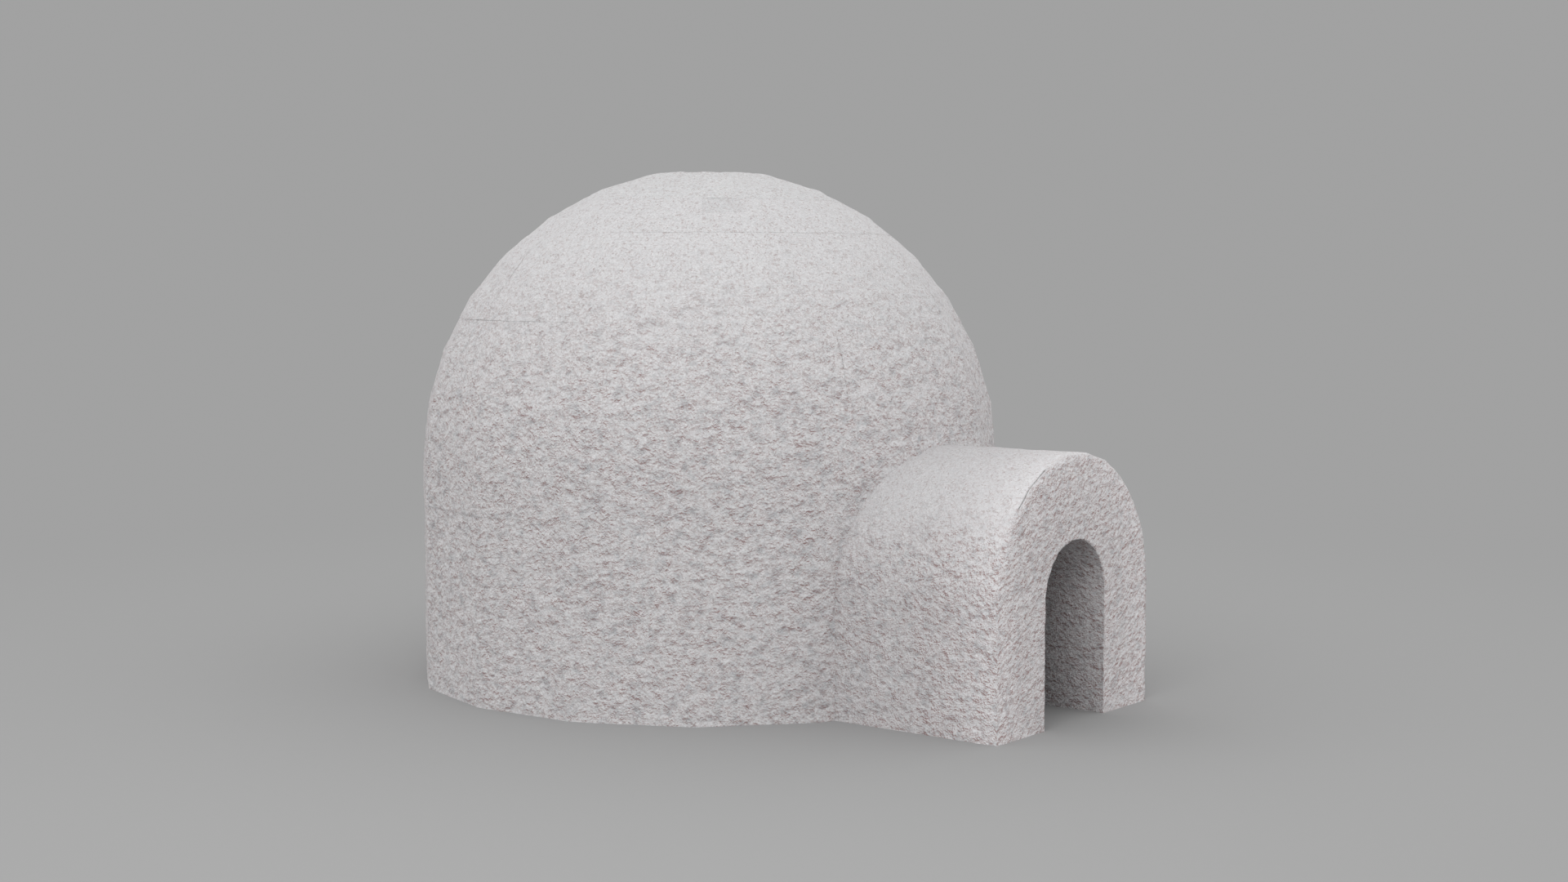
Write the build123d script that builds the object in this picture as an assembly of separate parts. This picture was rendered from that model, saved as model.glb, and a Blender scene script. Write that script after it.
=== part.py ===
from build123d import *

import os
from math import cos, hypot, pi, radians, sin

# Igloo: a many-sided dome of snow blocks laid in rings, with a round-topped entrance tunnel.
# Millimetres, +Z up, the ground at Z = 0, the origin at the centre of the footprint.
# The entrance faces -Y and +X is called the right-hand side.
# A bearing is an angle round the dome's upright axis: 0 at the entrance, positive towards +X.

# Dome
DOME_RADIUS = 1613.0  # axis to an outer corner of the wall
SIDES = 16  # flat sides round the dome
SIDE_TURN = 3.75  # bearing of the middle of the side over the entrance
SPRING_HEIGHT = 1198.0  # the wall is upright up to here and leans in above
DOME_RISE = 1620.0  # springing to the top of the full curve
CURVE_STEPS = 8  # equal steps of angle from the springing to the top, the last one left off
WALL = 300.0  # thickness of the blocks
JOINT = 3.0  # open upright joint between neighbouring blocks of a ring
LINTEL_COVER = 75.0  # top of the passage to the bed joint over the second ring
BED_ANGLES = (11.25, 29.3, 50.5, 62.3)  # bed joints over rings 3 to 6, in degrees up the curve

# Entrance tunnel: upright walls under a many-sided half-round vault, of one thickness all round
TUNNEL_LENGTH = 777.0  # corner circle of the dome to the entrance face
TUNNEL_SPRING = 636.0  # height of the vault's centre
VAULT_SIDES = 12  # flat sides over the vault
VAULT_RADIUS = 716.0  # outside corners of the vault, and half the tunnel's width
PASSAGE_RADIUS = 284.0  # inside corners of the vault, and half the passage's width
FRONT_ARCH_DEPTH = 480.0  # length of the arch of blocks at the entrance face

# Patch block let into the sixth ring, just under the crown
PATCH_BEARINGS = (-52.0, -37.0)
PATCH_HEIGHT = 78.0
PATCH_DEPTH = 110.0

# Rings of the dome from the ground up: name, first bearing, last bearing and blocks between them
RINGS = (
    (
        ("ring_1_front_right", 0.0, 33.75, 1),
        ("ring_1_front_right", 33.75, 101.25, 3),
        ("ring_1_back_right", 101.25, 191.25, 4),
        ("ring_1_back_left", 191.25, 258.75, 3),
        ("ring_1_front_left", 258.75, 326.25, 3),
        ("ring_1_front_left", 326.25, 360.0, 1),
    ),
    (
        ("doorway_lintel", -22.5, 22.5, 1),
        ("ring_2_front_right", 22.5, 90.0, 3),
        ("ring_2_back_right", 90.0, 180.0, 4),
        ("ring_2_back_left", 180.0, 270.0, 4),
        ("ring_2_front_left", 270.0, 337.5, 3),
    ),
    (
        ("ring_3_front_right", -11.25, 78.75, 4),
        ("ring_3_back_right", 78.75, 168.75, 4),
        ("ring_3_back_left", 168.75, 258.75, 4),
        ("ring_3_front_left", 258.75, 348.75, 4),
    ),
    (
        ("ring_4_front_right", -22.5, 67.5, 4),
        ("ring_4_back_right", 67.5, 157.5, 4),
        ("ring_4_back_left", 157.5, 247.5, 4),
        ("ring_4_front_left", 247.5, 337.5, 4),
    ),
    (
        ("ring_5_right", 15.0, 133.0, 4),
        ("ring_5_back", 133.0, 251.0, 4),
        ("ring_5_front_left", 251.0, 375.0, 4),
    ),
    (
        ("ring_6_front_right", -22.5, 67.5, 2),
        ("ring_6_back_right", 67.5, 157.5, 2),
        ("ring_6_back_left", 157.5, 247.5, 2),
        ("ring_6_front_left", 247.5, 337.5, 2),
    ),
    (
        ("crown_front_right", 0.0, 72.0, 1),
        ("crown_back_right", 72.0, 144.0, 1),
        ("crown_back", 144.0, 216.0, 1),
        ("crown_back_left", 216.0, 288.0, 1),
        ("crown_front_left", 288.0, 360.0, 1),
    ),
)
VOUSSOIRS = ("right_springer", "right_haunch", "keystone", "left_haunch", "left_springer")

SIDE_ANGLE = 360.0 / SIDES
APOTHEM = DOME_RADIUS * cos(pi / SIDES)  # axis to the middle of a side
TURN_ANGLES = [step * 90.0 / CURVE_STEPS for step in range(CURVE_STEPS)]
LINTEL_TOP = TUNNEL_SPRING + PASSAGE_RADIUS + LINTEL_COVER
TUNNEL_FRONT = -DOME_RADIUS - TUNNEL_LENGTH
SIDE_BEARINGS = [SIDE_TURN + side * SIDE_ANGLE for side in range(SIDES)]
BACK_REACH = max(-DOME_RADIUS * cos(radians(side + SIDE_ANGLE / 2)) for side in SIDE_BEARINGS)
DOME_OFFSET = -(TUNNEL_FRONT + BACK_REACH) / 2  # centres the footprint on the origin


def curve_height(angle):
    return SPRING_HEIGHT + DOME_RISE * sin(radians(angle))


# Corners of the dome's face in the middle plane of a side: distance from the axis, and height
FACE = [(APOTHEM, 0.0)] + [(APOTHEM * cos(radians(turn)), curve_height(turn)) for turn in TURN_ANGLES]
BED_HEIGHTS = [0.0, LINTEL_TOP / 2, LINTEL_TOP, *map(curve_height, BED_ANGLES), FACE[-1][1]]


def shell_point(height, depth):
    """Point at a depth inside the dome's face, on the bed joint that leaves the face at a height.

    Beds are level in the upright wall. Above it they lean to the middle of the springing."""
    for (foot_reach, foot), (top_reach, top) in zip(FACE, FACE[1:]):
        if height <= top + 0.001:
            break
    reach = foot_reach + (top_reach - foot_reach) * (height - foot) / (top - foot)
    rise = max(height - SPRING_HEIGHT, 0.0)
    full = hypot(reach / APOTHEM, rise / DOME_RISE)
    shrink = full / hypot(reach / (APOTHEM - depth), rise / (DOME_RISE - depth))
    return (reach * shrink, height - rise + rise * shrink)


def shell_section(low, high, depth=WALL):
    """Section of the dome's shell between two bed heights, in the middle plane of a side."""
    heights = [low] + [corner[1] for corner in FACE if low + 1 < corner[1] < high - 1] + [high]
    outside = [shell_point(height, 0.0) for height in heights]
    inside = [shell_point(height, depth) for height in reversed(heights)]
    return Plane.XZ * make_face(Polyline(*outside, *inside, close=True))


def key_section():
    """Half section of the key block: a flat-topped plug that narrows downwards."""
    rim = shell_point(BED_HEIGHTS[-1], 0.0)
    foot = shell_point(BED_HEIGHTS[-1], WALL)
    return Plane.XZ * make_face(Polyline((0, rim[1]), rim, foot, (0, foot[1]), close=True))


def wedge(first, last, inset=0.0):
    """Upright wedge from the dome's axis between two bearings, its sides moved in by an inset."""
    far = 3 * DOME_RADIUS
    middle = (first + last) / 2
    apex = bearing_vector(middle) * (inset / sin(radians((last - first) / 2)))
    corners = [apex, apex + bearing_vector(first) * far, apex + bearing_vector(last) * far]
    plan = make_face(Polyline(*[(corner.X, corner.Y) for corner in corners], close=True))
    return Pos(0, 0, -1) * extrude(plan, amount=2 * BED_HEIGHTS[-1])


def bearing_vector(bearing):
    return Vector(sin(radians(bearing)), -cos(radians(bearing)), 0)


def gore(section):
    """A section carried across one side of the dome, that side facing +X."""
    bar = extrude(section, amount=DOME_RADIUS, both=True)
    return bar & (Rot(0, 0, 90) * wedge(-SIDE_ANGLE / 2, SIDE_ANGLE / 2))


def ring_part(one_gore, first, last, inset=0.0):
    """The part of a ring of gores between two bearings."""
    reach = (last - first + SIDE_ANGLE) / 2
    near = []
    for bearing in SIDE_BEARINGS:
        off = (bearing - (first + last) / 2 + 180) % 360 - 180
        if abs(off) < reach - 0.01:
            near.append(Rot(0, 0, bearing - 90) * one_gore)
    joined = near[0].fuse(*near[1:]) if len(near) > 1 else near[0]
    return joined & wedge(first, last, inset)


def vault_corners(radius):
    """Corners of the half-round vault, from the right-hand springing over to the left-hand one."""
    side = 180.0 / VAULT_SIDES
    angles = [0.0] + [side * (place + 0.5) for place in range(VAULT_SIDES)] + [180.0]
    return [(radius * cos(radians(angle)), TUNNEL_SPRING + radius * sin(radians(angle))) for angle in angles]


def passage_outline():
    """The opening of the passage, drawn looking along Y and carried a little below the ground."""
    foot = -10.0
    return make_face(
        Polyline((PASSAGE_RADIUS, foot), *vault_corners(PASSAGE_RADIUS), (-PASSAGE_RADIUS, foot), close=True)
    )


def along_y(outline, front, back):
    """An outline drawn looking along Y, carried from one place along Y back to another."""
    return Pos(0, back, 0) * extrude(Plane.XZ * outline, amount=back - front)


def voussoir_outline(first, last):
    """Wedge-shaped arch block between two angles up from the right-hand springing."""
    inside = reversed(vault_corners(PASSAGE_RADIUS))
    band = make_face(Polyline(*vault_corners(VAULT_RADIUS), *inside, close=True))
    centre = Vector(0, TUNNEL_SPRING)
    arms = [centre + Vector(2 * VAULT_RADIUS, 0).rotate(Axis.Z, angle) for angle in (first, last)]
    return band & make_face(Polyline(centre, *arms, close=True))


def jamb_outline(side):
    """Wall block beside the passage, up to the springing; side is 1 on the right, -1 on the left."""
    thickness = VAULT_RADIUS - PASSAGE_RADIUS
    middle = side * (PASSAGE_RADIUS + thickness / 2)
    return Pos(middle, TUNNEL_SPRING / 2) * Rectangle(thickness, TUNNEL_SPRING)


def arch_outlines():
    """The seven blocks of one arch of the tunnel, by name."""
    outlines = {"right_jamb": jamb_outline(1), "left_jamb": jamb_outline(-1)}
    step = 180.0 / len(VOUSSOIRS)
    for place, name in enumerate(VOUSSOIRS):
        outlines[name] = voussoir_outline(place * step, (place + 1) * step)
    return outlines


def add(nodes, name, shape):
    """Add a shape's solids to a node, moved so that the footprint is centred on the origin."""
    nodes.setdefault(name, []).extend((Pos(0, DOME_OFFSET, 0) * shape).solids())


def add_dome(nodes):
    """The rings of wall blocks, the patch block, the crown and the key block."""
    passage = along_y(passage_outline(), TUNNEL_FRONT, -(APOTHEM - WALL) / 2)
    patch_gore = gore(shell_section(BED_HEIGHTS[6] - PATCH_HEIGHT, BED_HEIGHTS[6], PATCH_DEPTH))
    patch = ring_part(patch_gore, *PATCH_BEARINGS)
    for ring, low, high in zip(RINGS, BED_HEIGHTS, BED_HEIGHTS[1:]):
        ring_gore = gore(shell_section(low, high))
        for name, first, last, count in ring:
            step = (last - first) / count
            for place in range(count):
                start = first + place * step
                block = ring_part(ring_gore, start, start + step, JOINT / 2)
                if low < TUNNEL_SPRING + PASSAGE_RADIUS:
                    block = block - passage
                if name == "ring_6_front_left":
                    block = block - patch
                add(nodes, name, block)
    add(nodes, "patch_block", patch)
    key_gore = gore(key_section())
    thirds = [ring_part(key_gore, first, first + 120) for first in (0, 120, 240)]
    add(nodes, "key_block", thirds[0].fuse(*thirds[1:]).clean())


def add_tunnel(nodes):
    """Two arches of blocks, the rear one shaped to the dome's face."""
    joint = TUNNEL_FRONT + FRONT_ARCH_DEPTH
    buried = -APOTHEM + WALL
    dome_faces = []
    for low, high in zip(BED_HEIGHTS, BED_HEIGHTS[1:]):
        if shell_point(low, 2 * WALL)[1] < TUNNEL_SPRING + VAULT_RADIUS:
            dome_faces.append(ring_part(gore(shell_section(low, high, 2 * WALL)), -60, 60))
    for name, outline in arch_outlines().items():
        add(nodes, "front_arch_" + name, along_y(outline, TUNNEL_FRONT, joint))
        rear = along_y(outline, joint, buried)
        for face in dome_faces:
            rear = rear - face
        add(nodes, "rear_arch_" + name, rear)


def main():
    os.makedirs("parts", exist_ok=True)
    nodes = {}
    add_dome(nodes)
    add_tunnel(nodes)
    for name, solids in nodes.items():
        shape = solids[0] if len(solids) == 1 else Compound(children=solids)
        export_step(shape, os.path.join("parts", name + ".step"))
        print(name, len(solids))


main()
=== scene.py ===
from math import atan2, ceil, cos, degrees, floor, hypot, pi, radians, sin

import bmesh
import bpy
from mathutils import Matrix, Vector, noise


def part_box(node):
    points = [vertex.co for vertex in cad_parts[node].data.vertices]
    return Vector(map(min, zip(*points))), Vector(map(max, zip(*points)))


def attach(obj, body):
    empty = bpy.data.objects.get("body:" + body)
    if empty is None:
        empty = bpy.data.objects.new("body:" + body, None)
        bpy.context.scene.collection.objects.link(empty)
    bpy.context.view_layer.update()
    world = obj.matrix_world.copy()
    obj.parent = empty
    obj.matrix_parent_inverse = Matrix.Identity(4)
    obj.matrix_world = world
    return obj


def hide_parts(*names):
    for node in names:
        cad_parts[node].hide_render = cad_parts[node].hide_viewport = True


# Looks for the snow igloo: packed-snow pieces over the fixed frame, in metres, +Z up, entrance towards -Y.
# A bearing is an angle in degrees round the dome's upright axis: 0 at the entrance, positive towards +X.

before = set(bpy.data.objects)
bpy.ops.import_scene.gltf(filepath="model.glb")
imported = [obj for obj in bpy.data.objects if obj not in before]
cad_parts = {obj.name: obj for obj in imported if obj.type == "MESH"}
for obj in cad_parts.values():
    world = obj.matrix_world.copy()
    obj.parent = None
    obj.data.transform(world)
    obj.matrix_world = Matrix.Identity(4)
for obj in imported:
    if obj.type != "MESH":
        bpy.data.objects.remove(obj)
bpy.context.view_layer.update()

ROUNDING = 1e-6  # play for the rounding of numbers
SAME_PLACE = 1e-5  # corners nearer than this are one
NEAR_LINE = 0.001  # what is nearer than this to a joint or a rim lies on it

# The dome's measures
SIDES = 16
SIDE_ANGLE = 360.0 / SIDES
FRONT_SIDE = 3.75  # bearing of the middle of the side over the entrance
FIRST_CORNER = FRONT_SIDE - SIDE_ANGLE / 2
DOME_RADIUS = 1.613  # to the corners between the sides
APOTHEM = DOME_RADIUS * cos(pi / SIDES)
SPRING_HEIGHT = 1.198
DOME_RISE = 1.620
CURVE_STEPS = 8
WALL = 0.300
LINTEL_TOP = 0.995
BED_ANGLES = (11.25, 29.3, 50.5, 62.3)  # where the upper bed joints lie on the curve
TO_CORNER = DOME_RADIUS / APOTHEM
AXIS = (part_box("key_block")[0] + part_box("key_block")[1]) / 2
AXIS.z = 0

# The pocket that the patch block fills
POCKETED = "ring_6_front_left"
PATCH_HEIGHT = 0.078
PATCH_DEPTH = 0.110
PATCH_BEARINGS = (308.0, 323.0)
PATCH_TOP_REACH = 0.02  # how near the middle of the pocket's open top the faces over it lie

# The tunnel's measures
TUNNEL_SPRING = 0.636
VAULT_RADIUS = 0.716
PASSAGE_RADIUS = 0.284
TUNNEL_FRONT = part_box("front_arch_keystone")[0].y

# How a face is told to belong to a weathered surface
DOME_LEAN = 0.93  # least cosine between a flat side of the dome and the smooth dome
OUTSIDE_FROM = 0.965  # nearness to the dome's face, from which a face is on the outside
ROOM_UP_TO = 0.87  # nearness up to which a face is in the room
MID_WALL = 0.91  # nearness half-way through the wall
TUNNEL_LEAN = 0.95  # the same cosine for the vault and the passage
LIP_LEAN = 0.2  # least tilt of the rounded lip round the entrance
FRONT_LEAN = 0.99  # least cosine between the entrance and the way out
VAULT_PLAY = 0.02  # how far inside the vault's round its flat sides may lie
PASSAGE_PLAY = 0.002
THROUGH_WALL = 0.5  # least cosine to the wall's thickness of an edge that runs through the wall
FACING_CUTS = 0.8  # greatest cosine between a face and the cuts that divide it
FLAT_WITHIN = radians(0.5)

# Weathering
OUTER_GRAIN = 0.014  # mesh spacing on the outside
INNER_GRAIN = 0.028  # mesh spacing in the room and the passage
LUMP_SIZE = 0.085
LUMP_DEPTH = 0.0035
LUMP_FLATTENING = 1.6  # how much lower than wide the lumps are
LUMP_SMOOTHNESS = 0.9
LUMP_FINER = 2.1  # how much finer each next layer of lumps is
LUMP_LAYERS = 2
SLOPE_REACH = LUMP_SIZE / 20  # how far off the slope of a lump is measured
HAIRLINE = 0.0002  # rounding of a block's edge where the joint is plastered over
CORNER = 0.004  # rounding of the entrance's edges
RIM_WIDTH = 0.008  # longest line across a rounded joint
RIM_SINK = 0.008  # how far a block's joint runs in below its lumps
SOFT_CORNER = 0.050  # how far the packed snow swells round the entrance's outer edge
# Rounding of the edges at the joints that still show: level ones by the ring above, upright ones by node
OPEN_BEDS = {5: 0.0015, 6: 0.0006}
OPEN_UPRIGHTS = {"ring_4": 0.0016, "ring_5": 0.0045, "crown": 0.0005}
# How far the foot of a ring stands out past the ring below it, at the bearing where that is most
STEPS = {1: -0.003, 2: 0.005, 4: 0.003, 5: -0.0025}
STEP_BEARING = -135.0
# Painted lighting: 1 where the most light is painted, 0 in the open, -1 where the deepest shade is painted
FULL_PAINTED_SHADE = -1.0
JOINT_PAINTED_SHADE = -0.7  # painted shade in the joints between the blocks of the dome
MOUTH_PAINTED_LIGHT = 0.25  # painted light on the passage at its mouth
INNER_PAINTED_SHADE = -0.75  # painted shade on the passage deep inside
PASSAGE_FADE = 0.50  # length of passage over which the painted lighting falls by 1
PASSAGE_FOOT_LOSS = 0.45  # how much more painted shade there is at the foot of the passage
FRONT_PAINTED_LIGHT = 0.42  # painted light on the entrance at the passage, from where it rises to 1 at the vault
VAULT_PAINTED_HIGHLIGHT = 0.87  # painted highlight on the vault's sides at the entrance
VAULT_TOP_LOSS = 0.15  # how much less it is on top of the vault
VAULT_FADE = 0.55  # length of vault over which the painted highlight ends
VAULT_REST_LOSS = 0.02
# The crack behind the left shoulder of the entrance: angles round the vault from +X, and its section
CRACKED = "front_arch_left_haunch"
CRACK_ANGLES = (113.0, 127.0, 138.0)
CRACK_WIDTH = 0.009
CRACK_LINE = TUNNEL_FRONT + CORNER + CRACK_WIDTH / 2
CRACK_DEPTH = 0.030
CRACK_TAPER = 0.8  # below 1, it stays deep nearly to its ends
CRACK_DARK_FROM = 0.002  # depth from which the crack gets the deepest painted shade

# Snow pattern
SNOW_FLATTENING = 1.2  # how much lower than wide its flecks are
TUNNEL_LAY = -25.0  # tilt of the flecks on the tunnel, in degrees
FRONT_TURN = 25.0  # turn of the flecks on the flat entrance, in degrees
BUMP_DEPTH = 0.012
CREASE_WIDTH = 0.060  # from where a crease starts to where it is darkest, in the noise's own measure
WEB_WIDTH = 0.020  # in the same measure

# Studio
FLOOR_GREY = (0.36, 0.36, 0.36, 1)
FLOOR_RADIUS = 60.0
FLOOR_FADE = (3.0, 9.0)  # where the floor starts and ends to turn into the backdrop
SKY_TOP = 0.73  # strength of the soft light from overhead
SKY_SIDES = 1.58  # strength of the soft light from the sides
LAMP_PLACE = (-9.3, -4.8, 7.5)
LAMP_TARGET = (0, 0, 1.0)
LAMP_SIZE = 8.0
LAMP_POWER = 290
CAMERA_PLACE = (-9.327, -7.526, 2.2445)
CAMERA_TURN = (radians(85.56), 0, radians(-51.63))


def curve_height(angle):
    return SPRING_HEIGHT + DOME_RISE * sin(radians(angle))


TURNS = [step * 90.0 / CURVE_STEPS for step in range(CURVE_STEPS)]
FACE = [(APOTHEM, 0.0)] + [(APOTHEM * cos(radians(turn)), curve_height(turn)) for turn in TURNS]
BEDS = [0.0, LINTEL_TOP / 2, LINTEL_TOP, *map(curve_height, BED_ANGLES), FACE[-1][1]]

# Courses of the dome by node: first and last bearing, and the ring counted from the ground
COURSES = {
    "ring_1_front_right": (5.0, 101.25, 0),
    "ring_1_back_right": (101.25, 191.25, 0),
    "ring_1_back_left": (191.25, 258.75, 0),
    "ring_1_front_left": (258.75, 355.0, 0),
    "ring_2_front_right": (22.5, 90.0, 1),
    "ring_2_back_right": (90.0, 180.0, 1),
    "ring_2_back_left": (180.0, 270.0, 1),
    "ring_2_front_left": (270.0, 337.5, 1),
    "ring_3_front_right": (-11.25, 78.75, 2),
    "ring_3_back_right": (78.75, 168.75, 2),
    "ring_3_back_left": (168.75, 258.75, 2),
    "ring_3_front_left": (258.75, 348.75, 2),
    "ring_4_front_right": (-22.5, 67.5, 3),
    "ring_4_back_right": (67.5, 157.5, 3),
    "ring_4_back_left": (157.5, 247.5, 3),
    "ring_4_front_left": (247.5, 337.5, 3),
    "ring_5_right": (15.0, 133.0, 4),
    "ring_5_back": (133.0, 251.0, 4),
    "ring_5_front_left": (251.0, 375.0, 4),
    "ring_6_front_right": (-22.5, 67.5, 5),
    "ring_6_back_right": (67.5, 157.5, 5),
    "ring_6_back_left": (157.5, 247.5, 5),
    "ring_6_front_left": (247.5, 337.5, 5),
    "crown_front_right": (0.0, 72.0, 6),
    "crown_back_right": (72.0, 144.0, 6),
    "crown_back": (144.0, 216.0, 6),
    "crown_back_left": (216.0, 288.0, 6),
    "crown_front_left": (288.0, 360.0, 6),
}


def shell_point(height, depth):
    """A point at a depth inside the face, on the bed joint that starts at a height on the face.

    It is given as its distance from the axis and its own height.
    """
    for (foot_reach, foot), (top_reach, top) in zip(FACE, FACE[1:]):
        if height <= top + ROUNDING:
            break
    reach = foot_reach + (top_reach - foot_reach) * (height - foot) / (top - foot)
    rise = max(height - SPRING_HEIGHT, 0.0)
    full = hypot(reach / APOTHEM, rise / DOME_RISE)
    shrink = full / hypot(reach / (APOTHEM - depth), rise / (DOME_RISE - depth))
    return reach * shrink, height - rise + rise * shrink


def on_bearing(bearing, distance, height):
    return AXIS + Vector((distance * sin(radians(bearing)), -distance * cos(radians(bearing)), height))


def bearing_of(point):
    return degrees(atan2(point.x - AXIS.x, AXIS.y - point.y))


def geometry_of(faces):
    """Some faces with all their edges and corners, as an operator takes them."""
    edges = {edge for face in faces for edge in face.edges}
    corners = {vertex for face in faces for vertex in face.verts}
    return [*faces, *edges, *corners]


def divide(bm, geometry, point, direction):
    """Divides faces where a plane crosses them, and returns them with the new ones."""
    made = bmesh.ops.bisect_plane(bm, geom=geometry, dist=SAME_PLACE, plane_co=point, plane_no=direction)
    return made["geom"]


def cut_away(bm, point, outward):
    """Cuts off what lies outward of a plane and closes the cut."""
    geometry = bm.verts[:] + bm.edges[:] + bm.faces[:]
    bmesh.ops.bisect_plane(
        bm, geom=geometry, dist=ROUNDING, plane_co=point, plane_no=outward, clear_outer=True
    )
    rim = [edge for edge in bm.edges if edge.is_boundary]
    bmesh.ops.holes_fill(bm, edges=rim, sides=0)


def across_bearing(bearing):
    """Level direction at a right angle to a bearing, towards greater bearings."""
    return on_bearing(bearing + 90, 1, 0) - AXIS


def course_wall(first, last, low, high):
    """A closed length of the dome's wall between two bearings and two heights of its bed joints."""
    bm = bmesh.new()
    start = FIRST_CORNER + floor((first - FIRST_CORNER) / SIDE_ANGLE + ROUNDING) * SIDE_ANGLE
    count = ceil((last - start) / SIDE_ANGLE - ROUNDING)
    between = [height for reach, height in FACE if low + NEAR_LINE < height < high - NEAR_LINE]
    heights = [low, *between, high]
    outline = [shell_point(height, 0.0) for height in heights]
    outline += [shell_point(height, WALL) for height in reversed(heights)]
    bm.faces.new([bm.verts.new(on_bearing(start, reach * TO_CORNER, height)) for reach, height in outline])
    bmesh.ops.spin(
        bm,
        geom=bm.verts[:] + bm.edges[:] + bm.faces[:],
        cent=AXIS,
        axis=(0, 0, 1),
        angle=radians(count * SIDE_ANGLE),
        steps=count,
        use_duplicate=False,
    )
    cut_away(bm, AXIS, -across_bearing(first))
    cut_away(bm, AXIS, across_bearing(last))
    bmesh.ops.recalc_face_normals(bm, faces=bm.faces[:])
    return bm


def cut_pocket(bm, high):
    """Cuts the place of the patch block into the outside of a course, open at its top bed."""
    left, right = PATCH_BEARINGS
    foot = high - PATCH_HEIGHT
    side = floor((left - FIRST_CORNER) / SIDE_ANGLE)
    side_middle = FIRST_CORNER + (side + 0.5) * SIDE_ANGLE
    front_reach = shell_point(high, 0.0)[0]
    back_reach, back_top = shell_point(high, PATCH_DEPTH)
    for bearing in PATCH_BEARINGS:
        divide(bm, geometry_of(bm.faces[:]), AXIS, across_bearing(bearing))
    bm.normal_update()
    outside = [face for face in bm.faces if dome_side(face) == "dome"]
    divide(bm, geometry_of(outside), (0, 0, foot), (0, 0, 1))
    back_middle = on_bearing(side_middle, back_reach, 0)
    divide(bm, geometry_of(bm.faces[:]), back_middle, on_bearing(side_middle, 1, 0) - AXIS)

    fronts = []
    for face in bm.faces:
        centre = face.calc_center_median()
        if dome_side(face) == "dome" and centre.z > foot and left < bearing_of(centre) % 360 < right:
            fronts.append(face)
    made = bmesh.ops.extrude_face_region(bm, geom=fronts)["geom"]
    for vertex in made:
        if isinstance(vertex, bmesh.types.BMVert):
            reach = shell_point(vertex.co.z, 0.0)[0]
            back, height = shell_point(vertex.co.z, PATCH_DEPTH)
            across = (vertex.co - AXIS) * (back / reach)
            vertex.co = Vector((AXIS.x + across.x, AXIS.y + across.y, height))
    bmesh.ops.delete(bm, geom=[face for face in fronts if face.is_valid], context="FACES")
    bmesh.ops.remove_doubles(bm, verts=bm.verts[:], dist=SAME_PLACE)

    top_reach = (front_reach + back_reach) / 2
    top = on_bearing((left + right) / 2, top_reach, (high + back_top) / 2)
    lids = [face for face in bm.faces if (face.calc_center_median() - top).length < PATCH_TOP_REACH]
    bmesh.ops.delete(bm, geom=[face for face in lids if len(face.verts) == 4], context="FACES")
    bmesh.ops.recalc_face_normals(bm, faces=bm.faces[:])


def dome_course(node):
    """The wall of one node of the dome, with its doorway side or its pocket where it has one."""
    first, last, ring = COURSES[node]
    low, high = BEDS[ring], BEDS[ring + 1]
    bm = course_wall(first, last, low, high)
    if node == POCKETED:
        cut_pocket(bm, high)
    if node == "ring_1_front_right":
        cut_away(bm, (PASSAGE_RADIUS, 0, 0), (-1, 0, 0))
    if node == "ring_1_front_left":
        cut_away(bm, (-PASSAGE_RADIUS, 0, 0), (1, 0, 0))
    return bm


def frame_block(node):
    """The frame's own shape of a block, its loose triangles joined and its flat faces made whole."""
    bm = bmesh.new()
    bm.from_mesh(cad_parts[node].data)
    bmesh.ops.remove_doubles(bm, verts=bm.verts[:], dist=SAME_PLACE)
    bmesh.ops.dissolve_limit(bm, angle_limit=FLAT_WITHIN, verts=bm.verts[:], edges=bm.edges[:])
    return bm


def dome_normal(point):
    """Outward direction of the smooth dome under its flat sides."""
    across = point - AXIS
    rise = max(across.z - SPRING_HEIGHT, 0.0)
    return Vector((across.x / APOTHEM**2, across.y / APOTHEM**2, rise / DOME_RISE**2)).normalized()


def vault_normal(point):
    """Outward direction of the smooth vault under its flat sides."""
    return Vector((point.x, 0, max(point.z - TUNNEL_SPRING, 0.0))).normalized()


def tunnel_reach(point):
    """Distance from the middle of the passage: level up to the spring line, and in any direction above."""
    return hypot(point.x, max(point.z - TUNNEL_SPRING, 0.0))


SMOOTH = {
    "dome": dome_normal,
    "room": lambda point: -dome_normal(point),
    "vault": vault_normal,
    "passage": lambda point: -vault_normal(point),
    "entrance": lambda point: Vector((0, -1, 0)),
    "outer_lip": lambda point: (vault_normal(point) - Vector((0, 1, 0))).normalized(),
    "inner_lip": lambda point: (-vault_normal(point) - Vector((0, 1, 0))).normalized(),
}
SIDE_ORDER = list(SMOOTH)  # a corner between two weathered surfaces belongs to the later one


def place_of(vertex):
    """A vertex's place to the hundredth of a millimetre, to sort by."""
    return tuple(round(part, 5) for part in vertex.co)


def nearness(point):
    """How near a point of the wall is to the dome's face: 1 on the face, about 0.8 in the room."""
    across = point - AXIS
    rise = max(across.z - SPRING_HEIGHT, 0.0)
    return hypot(hypot(across.x, across.y) / APOTHEM, rise / DOME_RISE)


def dome_side(face):
    """The weathered surface that a face of the dome belongs to: its outside, the room or the passage."""
    centre = face.calc_center_median()
    lean = face.normal.dot(dome_normal(centre))
    if lean > DOME_LEAN and nearness(centre) > OUTSIDE_FROM:
        return "dome"
    if lean < -DOME_LEAN and nearness(centre) < ROOM_UP_TO:
        return "room"
    inward = -face.normal.dot(vault_normal(centre))
    if tunnel_reach(centre) < PASSAGE_RADIUS + PASSAGE_PLAY and centre.y < 0 and inward > DOME_LEAN:
        return "passage"
    return None


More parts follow.
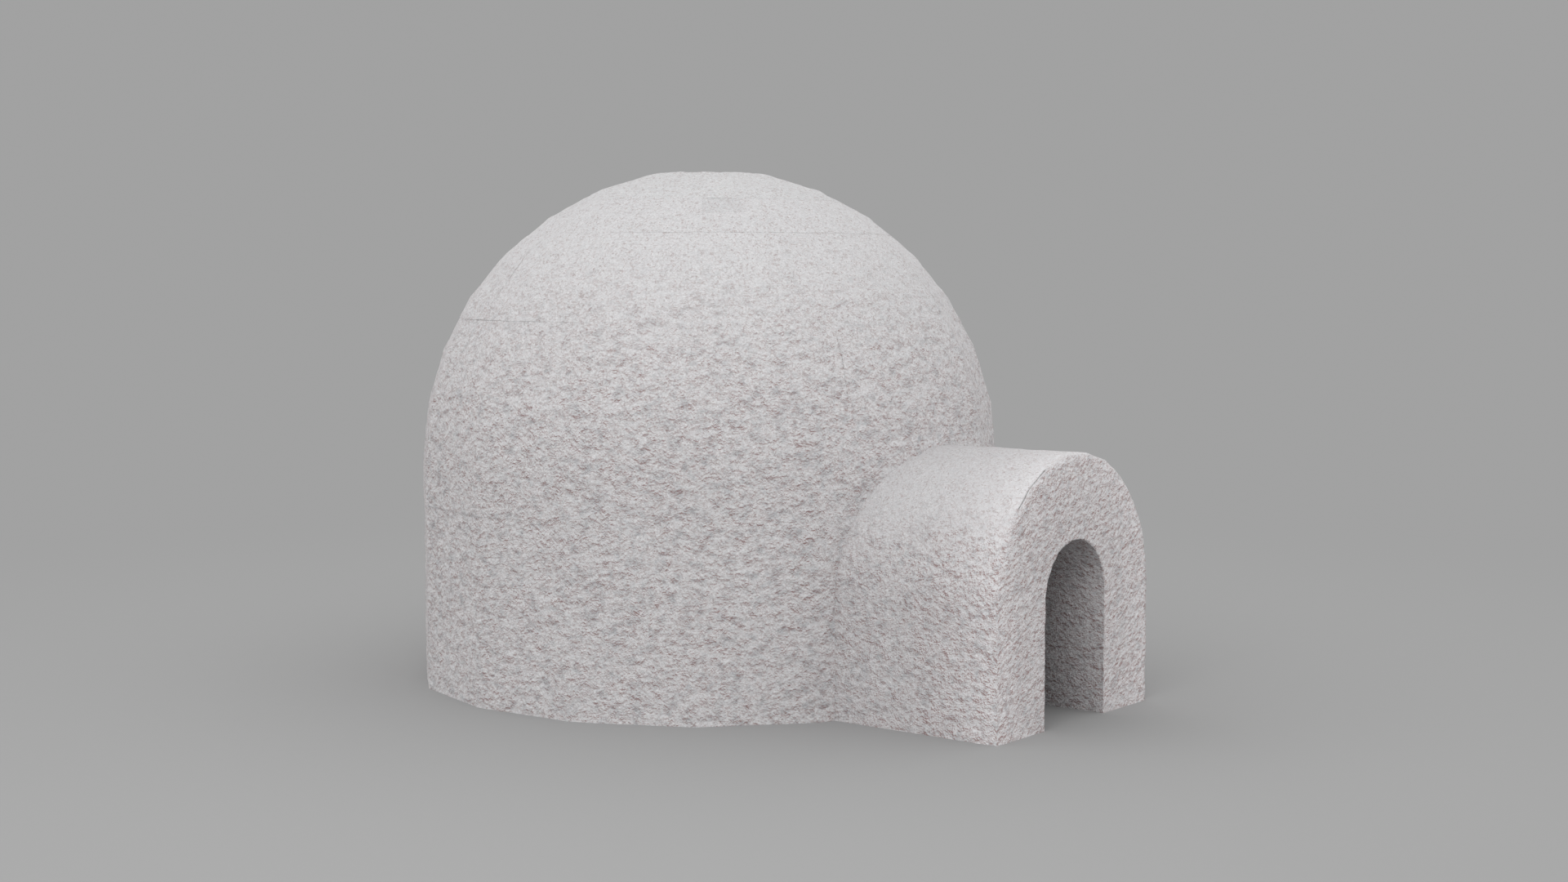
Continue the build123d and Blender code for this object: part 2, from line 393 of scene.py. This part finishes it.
def tunnel_side(face):
    """The weathered surface that a face of the tunnel belongs to: the vault, the entrance and so on."""
    centre = face.calc_center_median()
    if face.normal.y < -FRONT_LEAN:
        return "entrance" if centre.y < TUNNEL_FRONT + NEAR_LINE else None
    reach = tunnel_reach(centre)
    lean = face.normal.dot(vault_normal(centre))
    if lean > TUNNEL_LEAN and reach > VAULT_RADIUS - VAULT_PLAY:
        return "vault"
    if lean < -TUNNEL_LEAN and reach < PASSAGE_RADIUS + PASSAGE_PLAY:
        return "passage"
    if face.normal.y < -LIP_LEAN and centre.y < TUNNEL_FRONT + CORNER:
        if lean > LIP_LEAN and reach > VAULT_RADIUS - VAULT_PLAY:
            return "outer_lip"
        if lean < -LIP_LEAN and reach < PASSAGE_RADIUS + CORNER:
            return "inner_lip"
    return None


def is_level(edge):
    return abs(edge.verts[0].co.z - edge.verts[1].co.z) < SAME_PLACE


def opening_of(edge, node):
    """Rounding of a block's edge, by the joint that it lies on."""
    if is_level(edge):
        beds = [bed for bed in OPEN_BEDS if abs(edge.verts[0].co.z - BEDS[bed]) < NEAR_LINE]
        return OPEN_BEDS[beds[0]] if beds else HAIRLINE
    starts = [start for start in OPEN_UPRIGHTS if node.startswith(start)]
    return OPEN_UPRIGHTS[starts[0]] if starts else HAIRLINE


def round_edges(bm, edges, offset, segments):
    bmesh.ops.bevel(
        bm, geom=edges, offset=offset, affect="EDGES", segments=segments, profile=0.5, material=-1
    )


def soften_edges(bm, side_of, node):
    """Rounds the corners where two weathered faces meet, and the joints where a weathered face ends."""
    sides = {face: side_of(face) for face in bm.faces}
    corners = [edge for edge in bm.edges if len({sides[face] for face in edge.link_faces} - {None}) > 1]
    if corners:
        round_edges(bm, corners, CORNER, 3)
    for level in (True, False):
        rims = {}
        for edge in bm.edges:
            weathered = [face for face in edge.link_faces if side_of(face)]
            if len(weathered) == 1 and is_level(edge) == level:
                rims.setdefault(opening_of(edge, node), []).append(edge)
        for joint, edges in rims.items():
            round_edges(bm, [edge for edge in edges if edge.is_valid], joint, 1)
    bmesh.ops.remove_doubles(bm, verts=bm.verts[:], dist=HAIRLINE / 4)


def grain_of(point):
    """Mesh spacing on the dome's face nearest to a point."""
    return OUTER_GRAIN if nearness(point) > MID_WALL else INNER_GRAIN


def divide_course(bm):
    """Divides the dome's faces into an even net: up each side first, then along each side in turn."""

    def along_face(edge, level):
        middle = (edge.verts[0].co + edge.verts[1].co) / 2
        run = edge.verts[1].co - edge.verts[0].co
        if run.length < OUTER_GRAIN or abs(run.normalized().dot(dome_normal(middle))) > THROUGH_WALL:
            return None
        if is_level(edge) != level:
            return None
        return middle, run.length

    climbs = {}
    for edge in bm.edges:
        found = along_face(edge, False)
        if found:
            middle, length = found
            grain = grain_of(middle)
            climbs.setdefault((grain, ceil(length / grain)), []).append(edge)
    for (grain, count), edges in climbs.items():
        bmesh.ops.subdivide_edges(bm, edges=edges, cuts=count - 1, use_grid_fill=True)
    laps = {}
    for edge in bm.edges:
        found = along_face(edge, True)
        if found:
            middle, length = found
            side = floor((bearing_of(middle) - FIRST_CORNER) / SIDE_ANGLE)
            laps.setdefault((grain_of(middle), side), []).append((length, edge))
    for (grain, side), found in laps.items():
        count = ceil(max(length for length, edge in found) / grain)
        edges = [edge for length, edge in found]
        bmesh.ops.subdivide_edges(bm, edges=edges, cuts=count - 1, use_grid_fill=True)


def divide_block(bm, side_of):
    """Divides a block's weathered faces along level and upright planes."""
    for axis in range(3):
        across = Vector([float(place == axis) for place in range(3)])
        faces = [face for face in bm.faces if side_of(face) and abs(face.normal[axis]) < FACING_CUTS]
        for inside, grain in ((False, OUTER_GRAIN), (True, INNER_GRAIN)):
            group = [face for face in faces if (side_of(face) in ("room", "passage")) == inside]
            if not group:
                continue
            places = [vertex.co[axis] for face in group for vertex in face.verts]
            geometry = geometry_of(group)
            step = floor(min(places) / grain) + 1
            while step * grain < max(places) - NEAR_LINE:
                geometry = divide(bm, geometry, across * step * grain, across)
                step += 1


def add_crack_lines(bm, side_of):
    """Divides the vault along the lines that the crack follows."""
    for place in range(-2, 3):
        faces = [face for face in bm.faces if side_of(face) == "vault"]
        divide(bm, geometry_of(faces), (0, CRACK_LINE + place * CRACK_WIDTH / 4, 0), (0, 1, 0))


def crack_depth(point):
    """Depth of the crack at a place on the vault."""
    start, widest, end = CRACK_ANGLES
    turn = degrees(atan2(point.z - TUNNEL_SPRING, point.x))
    along = min((turn - start) / (widest - start), (end - turn) / (end - widest))
    across = 1 - abs(point.y - CRACK_LINE) / (CRACK_WIDTH / 2)
    return CRACK_DEPTH * max(along, 0.0) ** CRACK_TAPER * max(across, 0.0)


def step_of(node, point):
    """How far a ring of the dome stands out from the even curve: most at its foot, and only on one side."""
    if node not in COURSES:
        return 0.0
    ring = COURSES[node][2]
    low, high = BEDS[ring], BEDS[ring + 1]
    turned = max(cos(radians(bearing_of(point) - STEP_BEARING)), 0.0)
    return STEPS.get(ring, 0.0) * turned**2 * (high - point.z) / (high - low)


def lumps(point):
    """Height of the wind-packed lumps at a place, in metres."""
    place = Vector((point.x, point.y, point.z * LUMP_FLATTENING)) / LUMP_SIZE
    return LUMP_DEPTH * noise.fractal(place, LUMP_SMOOTHNESS, LUMP_FINER, LUMP_LAYERS)


def painted_lighting_of(side, point):
    """How much light or shade is painted at a place of a weathered surface."""
    inward = point.y - TUNNEL_FRONT
    # Painted shade over the whole room
    if side == "room":
        return FULL_PAINTED_SHADE
    # Painted light at the passage's mouth, turning to painted shade deeper in and at its foot
    if side == "passage":
        foot_loss = PASSAGE_FOOT_LOSS * max(1 - point.z / TUNNEL_SPRING, 0.0)
        return max(MOUTH_PAINTED_LIGHT - inward / PASSAGE_FADE, INNER_PAINTED_SHADE) - foot_loss
    # Painted light on the entrance, rising towards its outer edge
    if side in ("entrance", "inner_lip"):
        span = (tunnel_reach(point) - PASSAGE_RADIUS) / (VAULT_RADIUS - PASSAGE_RADIUS)
        return FRONT_PAINTED_LIGHT + (1 - FRONT_PAINTED_LIGHT) * span**2
    # Painted highlight on the vault near the entrance, less on top, fading inward
    if side in ("vault", "outer_lip"):
        vault_highlight = VAULT_PAINTED_HIGHLIGHT - VAULT_TOP_LOSS * vault_normal(point).z
        return vault_highlight * max(1.0 - inward / VAULT_FADE, 0.0) ** 2 - VAULT_REST_LOSS
    return 0.0


def swollen_normal(side, point):
    """Direction that the smooth snow faces, turned a little round the entrance's outer edge."""
    normal = SMOOTH[side](point)
    if side == "vault":
        near = 1 - (point.y - TUNNEL_FRONT) / SOFT_CORNER
        return (normal + SMOOTH["entrance"](point) * max(near, 0.0) ** 2).normalized()
    if side == "entrance":
        near = 1 - (VAULT_RADIUS - tunnel_reach(point)) / SOFT_CORNER
        return (normal + SMOOTH["vault"](point) * max(near, 0.0) ** 2).normalized()
    return normal


def weather(bm, side_of, node):
    """Raises the lumps and sets the painted light and shade on the weathered faces.

    Returns a smooth normal for every vertex.
    """
    painted_lighting = bm.verts.layers.float.new("Painted lighting")
    # Every vertex starts with the deepest painted shade, which the hidden faces keep
    for vertex in bm.verts:
        vertex[painted_lighting] = FULL_PAINTED_SHADE
    bm.normal_update()
    sides = {}
    for face in bm.faces:
        side = side_of(face)
        if side:
            for vertex in face.verts:
                sides[vertex] = max(side, sides.get(vertex, side), key=SIDE_ORDER.index)
    moves = {}
    for vertex, side in sides.items():
        normal = SMOOTH[side](vertex.co)
        first = normal.orthogonal().normalized()
        second = normal.cross(first)
        height = lumps(vertex.co)
        strides = (first * SLOPE_REACH, second * SLOPE_REACH)
        slopes = [(lumps(vertex.co + stride) - height) / SLOPE_REACH for stride in strides]
        crack = crack_depth(vertex.co) if side == "vault" and node == CRACKED else 0.0
        step = step_of(node, vertex.co) if side == "dome" else 0.0
        # Painted shade fills the crack; elsewhere the painted light or shade follows the place
        vertex[painted_lighting] = FULL_PAINTED_SHADE if crack > CRACK_DARK_FROM else painted_lighting_of(side, vertex.co)
        faced = swollen_normal(side, vertex.co) - first * slopes[0] - second * slopes[1]
        moves[vertex] = (normal * (height + step - crack), faced)
    in_ring = node in COURSES
    followers = {}
    for vertex in sorted(sides, key=place_of):
        side = sides[vertex]
        for edge in vertex.link_edges:
            rim = edge.other_vert(vertex)
            if rim not in moves and edge.calc_length() < RIM_WIDTH:
                followers[rim] = moves[vertex][0] if in_ring else SMOOTH[side](vertex.co) * -RIM_SINK
                # Painted shade in the dome's joints; elsewhere a joint's rim takes its neighbour's painted
                # lighting
                rim[painted_lighting] = JOINT_PAINTED_SHADE if in_ring else vertex[painted_lighting]
    for vertex, (move, faced) in moves.items():
        vertex.co += move
    for vertex, move in followers.items():
        vertex.co += move
    bm.normal_update()
    bm.verts.index_update()
    normals = []
    for vertex in bm.verts:
        normals.append(moves[vertex][1].normalized() if vertex in moves else vertex.normal.copy())
    return normals


def make_piece(node, bm, normals, material):
    """Makes the object that stands for a node of the frame."""
    for face in bm.faces:
        face.smooth = True
    mesh = bpy.data.meshes.new(node + "_snow")
    bm.to_mesh(mesh)
    bm.free()
    mesh.normals_split_custom_set_from_vertices(normals)
    mesh.materials.append(material)
    piece = bpy.data.objects.new(node + "_snow", mesh)
    bpy.context.scene.collection.objects.link(piece)
    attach(piece, "root")
    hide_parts(node)


def link(tree, source, target):
    tree.links.new(source, target)


def node_of(tree, kind, **settings):
    made = tree.nodes.new("ShaderNode" + kind)
    for name, value in settings.items():
        setattr(made, name, value)
    return made


def packed_snow_group():
    """Packed snow: lumps, with dusty creases under them that also stand for painted shade, and painted cool
    shade under them, both strongest on steep faces.
    """
    tree = bpy.data.node_groups.new("Packed snow", "ShaderNodeTree")
    for name, kind in (
        ("Position", "NodeSocketVector"),
        ("Snow", "NodeSocketColor"),
        ("Crease", "NodeSocketColor"),
        ("Cool shade", "NodeSocketColor"),
        ("Lumps per metre", "NodeSocketFloat"),
        ("Crease start", "NodeSocketFloat"),
        ("Crease amount", "NodeSocketFloat"),
        ("Cool shade amount", "NodeSocketFloat"),
        ("Web amount", "NodeSocketFloat"),
        ("Painted shade level", "NodeSocketFloat"),
    ):
        tree.interface.new_socket(name=name, in_out="INPUT", socket_type=kind)
    tree.interface.new_socket(name="Colour", in_out="OUTPUT", socket_type="NodeSocketColor")
    tree.interface.new_socket(name="Height", in_out="OUTPUT", socket_type="NodeSocketFloat")
    given = tree.nodes.new("NodeGroupInput")
    result = tree.nodes.new("NodeGroupOutput")

    def maths(operation, first, second):
        made = node_of(tree, "Math", operation=operation)
        for socket, value in zip(made.inputs, (first, second)):
            if isinstance(value, float):
                socket.default_value = value
            else:
                link(tree, value, socket)
        return made.outputs[0]

    def product(first, second):
        return maths("MULTIPLY", first, second)

    def ranged(value, low, high, at_low=0.0, at_high=1.0, easing="SMOOTHSTEP"):
        made = node_of(tree, "MapRange", interpolation_type=easing)
        limits = {"From Min": low, "From Max": high, "To Min": at_low, "To Max": at_high}
        for name, limit in limits.items():
            if isinstance(limit, float):
                made.inputs[name].default_value = limit
            else:
                link(tree, limit, made.inputs[name])
        link(tree, value, made.inputs["Value"])
        return made.outputs["Result"]

    def lump_noise(rate, detail, roughness, distortion=0.0, shift=0.0):
        moved = node_of(tree, "VectorMath", operation="ADD")
        moved.inputs[1].default_value = (0, 0, shift)
        link(tree, given.outputs["Position"], moved.inputs[0])
        made = node_of(tree, "TexNoise", normalize=True)
        made.inputs["Detail"].default_value = detail
        made.inputs["Roughness"].default_value = roughness
        made.inputs["Distortion"].default_value = distortion
        link(tree, moved.outputs[0], made.inputs["Vector"])
        link(tree, product(given.outputs["Lumps per metre"], rate), made.inputs["Scale"])
        return made.outputs["Fac"]

    def blend(amount, first, second):
        made = node_of(tree, "Mix", data_type="RGBA")
        link(tree, amount, made.inputs["Factor"])
        link(tree, first, made.inputs["A"])
        link(tree, second, made.inputs["B"])
        return made.outputs["Result"]

    # Undersides of the lumps, from the pattern here and a little above
    here = lump_noise(1.0, detail=8.0, roughness=0.74)
    above = lump_noise(1.0, detail=8.0, roughness=0.74, shift=0.005)
    under = maths("SUBTRACT", above, here)

    # Painted shade: the creases and cool shade are strongest on steep faces and faintest on level ones
    way = node_of(tree, "NewGeometry")
    parts = node_of(tree, "SeparateXYZ")
    link(tree, way.outputs["Normal"], parts.inputs[0])
    upward = maths("MAXIMUM", parts.outputs["Z"], 0.0)
    slope_painted_shade = ranged(product(upward, upward), -0.20, 0.56, at_low=1.38, at_high=0.16)

    # Dusty creases under the lumps, in patches, which also stand for painted shade there
    crease_end = maths("ADD", given.outputs["Crease start"], CREASE_WIDTH)
    crease = ranged(under, given.outputs["Crease start"], crease_end)
    patches = lump_noise(0.45, detail=5.0, roughness=0.65, distortion=0.3)
    small_patches = lump_noise(2.0, detail=4.0, roughness=0.6)
    patchy = product(
        ranged(patches, 0.35, 0.62, at_low=0.55), ranged(small_patches, 0.36, 0.60, at_low=0.25)
    )
    crease = product(product(crease, patchy), product(given.outputs["Crease amount"], slope_painted_shade))

    # A fine web of lines that shows on level faces too
    web = node_of(tree, "Math", operation="COMPARE")
    link(tree, lump_noise(1.5, detail=4.0, roughness=0.58, distortion=0.6), web.inputs[0])
    web.inputs[1].default_value = 0.5
    web.inputs[2].default_value = WEB_WIDTH
    web_patches = lump_noise(2.6, detail=2.0, roughness=0.6, distortion=0.3)
    web = product(product(web.outputs[0], ranged(web_patches, 0.42, 0.58)), given.outputs["Web amount"])

    # Painted cool shade, mostly on the undersides of the lumps
    cool_shade = ranged(lump_noise(0.85, detail=6.0, roughness=0.68, distortion=0.4), 0.44, 0.70)
    cool_shade = product(cool_shade, ranged(under, -0.08, 0.08, at_low=0.35))
    cool_shade = product(cool_shade, product(given.outputs["Cool shade amount"], slope_painted_shade))

    cool_shaded = blend(cool_shade, given.outputs["Snow"], given.outputs["Cool shade"])
    dust_and_shade = blend(maths("MAXIMUM", crease, web), cool_shaded, given.outputs["Crease"])

    # Painted light and shade by place: darker where shade is painted and lighter where light is; where
    # shade is painted the bumps are also deeper and the colour more speckled
    painted_lighting = node_of(tree, "Attribute", attribute_name="Painted lighting").outputs["Fac"]
    painted_light_factor = ranged(painted_lighting, -1.0, 1.0, given.outputs["Painted shade level"], 1.10, "LINEAR")
    grains = ranged(
        lump_noise(5.0, detail=2.0, roughness=0.6),
        0.2,
        0.8,
        at_low=ranged(painted_lighting, -0.8, 0.1, 0.35, 0.88, "LINEAR"),
        at_high=ranged(painted_lighting, -0.8, 0.1, 1.65, 1.14, "LINEAR"),
        easing="LINEAR",
    )
    toned = node_of(tree, "VectorMath", operation="SCALE")
    link(tree, dust_and_shade, toned.inputs[0])
    link(tree, product(painted_light_factor, grains), toned.inputs["Scale"])
    link(tree, toned.outputs["Vector"], result.inputs["Colour"])
    rough = ranged(painted_lighting, -1.0, 0.0, 1.6, 1.0, "LINEAR")
    link(tree, product(here, rough), result.inputs["Height"])
    return tree


SNOW_GROUP = packed_snow_group()


def turned_on_front(tree, place, position, angle):
    """Turns the lay of the snow on the flat entrance face, where it was trimmed by hand."""
    turn = node_of(tree, "Mapping")
    turn.inputs["Rotation"].default_value = (0, radians(angle), 0)
    stretch = node_of(tree, "Mapping")
    stretch.inputs["Scale"].default_value = (1.0, 1.0, SNOW_FLATTENING)
    way = node_of(tree, "NewGeometry")
    parts = node_of(tree, "SeparateXYZ")
    front = node_of(tree, "Math", operation="LESS_THAN")
    front.inputs[1].default_value = -0.8
    chosen = node_of(tree, "Mix", data_type="VECTOR")
    link(tree, place, turn.inputs["Vector"])
    link(tree, turn.outputs["Vector"], stretch.inputs["Vector"])
    link(tree, way.outputs["True Normal"], parts.inputs[0])
    link(tree, parts.outputs["Y"], front.inputs[0])
    link(tree, front.outputs[0], chosen.inputs["Factor"])
    link(tree, position, chosen.inputs["A"])
    link(tree, stretch.outputs["Vector"], chosen.inputs["B"])
    return chosen.outputs["Result"]


def snow_finish(name, snow, lump_rate=20.0, crease=1.25, lay=0, face_turn=None):
    """A packed-snow finish over the shared snow pattern."""
    material = bpy.data.materials.new(name)
    material.use_nodes = True
    tree = material.node_tree
    shader = tree.nodes["Principled BSDF"]
    shader.inputs["Roughness"].default_value = 0.9
    shader.inputs["Specular IOR Level"].default_value = 0.2
    place = node_of(tree, "TexCoord")
    level = node_of(tree, "Mapping")
    level.inputs["Rotation"].default_value = (radians(lay), 0, 0)
    level.inputs["Scale"].default_value = (1.0, 1.0, SNOW_FLATTENING)
    link(tree, place.outputs["Object"], level.inputs["Vector"])
    position = level.outputs["Vector"]
    pattern = node_of(tree, "Group", node_tree=SNOW_GROUP)
    pattern.inputs["Snow"].default_value = (*snow, 1)
    # Reddish dust in the creases, also standing for painted shade under the lumps
    pattern.inputs["Crease"].default_value = (0.340, 0.225, 0.215, 1)
    # Colour of the painted cool shade under the lumps
    pattern.inputs["Cool shade"].default_value = (0.425, 0.440, 0.460, 1)
    pattern.inputs["Lumps per metre"].default_value = lump_rate
    pattern.inputs["Crease start"].default_value = -0.004
    pattern.inputs["Crease amount"].default_value = crease
    pattern.inputs["Cool shade amount"].default_value = 1.0
    pattern.inputs["Web amount"].default_value = 0.55
    # Colour scale where the deepest shade is painted
    pattern.inputs["Painted shade level"].default_value = 0.60
    bump = node_of(tree, "Bump")
    bump.inputs["Strength"].default_value = 1.0
    bump.inputs["Distance"].default_value = BUMP_DEPTH
    if face_turn is not None:
        position = turned_on_front(tree, place.outputs["Object"], position, face_turn)
    link(tree, position, pattern.inputs["Position"])
    link(tree, pattern.outputs["Colour"], shader.inputs["Base Color"])
    link(tree, pattern.outputs["Height"], bump.inputs["Height"])
    link(tree, bump.outputs["Normal"], shader.inputs["Normal"])
    return material


FINISHES = {
    "wall_snow": snow_finish("Wall snow", (0.738, 0.733, 0.743)),
    "crown_snow": snow_finish("Crown snow", (0.733, 0.733, 0.741)),
    "patch_snow": snow_finish("Patch snow", (0.700, 0.700, 0.711), crease=3.0),
    "tunnel_snow": snow_finish("Tunnel snow", (0.715, 0.709, 0.719), 24.0, 1.2, TUNNEL_LAY),
    "entrance_snow": snow_finish("Entrance snow", (0.715, 0.708, 0.719), 24.0, 1.7, TUNNEL_LAY, FRONT_TURN),
}


def finish_of(node):
    if node.startswith("front_arch"):
        return "entrance_snow"
    if node.startswith("rear_arch"):
        return "tunnel_snow"
    if node.startswith("crown") or node == "key_block":
        return "crown_snow"
    return "patch_snow" if node == "patch_block" else "wall_snow"


for node in sorted(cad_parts):
    name = finish_of(node)
    in_tunnel = "arch" in node
    side_of = tunnel_side if in_tunnel else dome_side
    if node in COURSES:
        bm = dome_course(node)
        soften_edges(bm, side_of, node)
        divide_course(bm)
    else:
        bm = frame_block(node)
        soften_edges(bm, side_of, node)
        divide_block(bm, side_of)
    if node == CRACKED:
        add_crack_lines(bm, side_of)
    many_cornered = [face for face in bm.faces if len(face.verts) > 4 and side_of(face)]
    bmesh.ops.triangulate(bm, faces=many_cornered)
    normals = weather(bm, side_of, node)
    make_piece(node, bm, normals, FINISHES[name])


def make_floor(colour):
    """A plain floor that fades into the background away from the igloo."""
    bm = bmesh.new()
    bmesh.ops.create_circle(bm, cap_ends=True, radius=FLOOR_RADIUS, segments=96)
    mesh = bpy.data.meshes.new("floor")
    bm.to_mesh(mesh)
    bm.free()
    piece = bpy.data.objects.new("floor", mesh)
    bpy.context.scene.collection.objects.link(piece)
    material = bpy.data.materials.new("Studio floor")
    material.use_nodes = True
    tree = material.node_tree
    shader = tree.nodes["Principled BSDF"]
    output = tree.nodes["Material Output"]
    shader.inputs["Base Color"].default_value = colour
    shader.inputs["Roughness"].default_value = 0.95
    shader.inputs["Specular IOR Level"].default_value = 0.0
    place = node_of(tree, "TexCoord")
    far = node_of(tree, "VectorMath", operation="LENGTH")
    fade = node_of(tree, "MapRange", interpolation_type="SMOOTHSTEP")
    fade.inputs["From Min"].default_value = FLOOR_FADE[0]
    fade.inputs["From Max"].default_value = FLOOR_FADE[1]
    path = node_of(tree, "LightPath")
    seen = node_of(tree, "Math", operation="MULTIPLY")
    plain = node_of(tree, "Emission")
    plain.inputs["Color"].default_value = colour
    mixed = node_of(tree, "MixShader")
    link(tree, place.outputs["Object"], far.inputs[0])
    link(tree, far.outputs["Value"], fade.inputs["Value"])
    link(tree, fade.outputs["Result"], seen.inputs[0])
    link(tree, path.outputs["Is Camera Ray"], seen.inputs[1])
    link(tree, seen.outputs[0], mixed.inputs[0])
    link(tree, shader.outputs[0], mixed.inputs[1])
    link(tree, plain.outputs[0], mixed.inputs[2])
    link(tree, mixed.outputs[0], output.inputs["Surface"])
    mesh.materials.append(material)


def make_sky(backdrop, zenith, horizon):
    """Plain backdrop for the camera, and for everything else soft light that is stronger from the sides."""
    world = bpy.data.worlds.new("Studio")
    world.use_nodes = True
    bpy.context.scene.world = world
    tree = world.node_tree
    lamp = tree.nodes["Background"]
    lamp.inputs["Color"].default_value = (1, 1, 1, 1)
    place = node_of(tree, "TexCoord")
    parts = node_of(tree, "SeparateXYZ")
    lift = node_of(tree, "MapRange")
    lift.inputs["From Min"].default_value = 0.0
    lift.inputs["From Max"].default_value = 1.0
    lift.inputs["To Min"].default_value = horizon
    lift.inputs["To Max"].default_value = zenith
    seen = node_of(tree, "Background")
    seen.inputs["Color"].default_value = backdrop
    path = node_of(tree, "LightPath")
    mixed = node_of(tree, "MixShader")
    link(tree, place.outputs["Generated"], parts.inputs[0])
    link(tree, parts.outputs["Z"], lift.inputs["Value"])
    link(tree, lift.outputs["Result"], lamp.inputs["Strength"])
    link(tree, path.outputs["Is Camera Ray"], mixed.inputs[0])
    link(tree, lamp.outputs[0], mixed.inputs[1])
    link(tree, seen.outputs[0], mixed.inputs[2])
    link(tree, mixed.outputs[0], tree.nodes["World Output"].inputs["Surface"])


def add_key_lamp():
    """One broad soft lamp high on the left of the entrance."""
    lamp = bpy.data.lights.new("Key", "AREA")
    lamp.shape = "DISK"
    lamp.size = LAMP_SIZE
    lamp.energy = LAMP_POWER
    made = bpy.data.objects.new("Key", lamp)
    made.location = LAMP_PLACE
    made.rotation_euler = (Vector(LAMP_TARGET) - Vector(LAMP_PLACE)).to_track_quat("-Z", "Y").to_euler()
    bpy.context.scene.collection.objects.link(made)


make_floor(FLOOR_GREY)
make_sky(FLOOR_GREY, SKY_TOP, SKY_SIDES)
add_key_lamp()

eye = bpy.data.cameras.new("Camera")
eye.lens = 50
eye.sensor_width = 36
camera = bpy.data.objects.new("Camera", eye)
camera.location = CAMERA_PLACE
camera.rotation_euler = CAMERA_TURN
bpy.context.scene.collection.objects.link(camera)
bpy.context.scene.camera = camera
bpy.context.scene.view_settings.view_transform = "Standard"
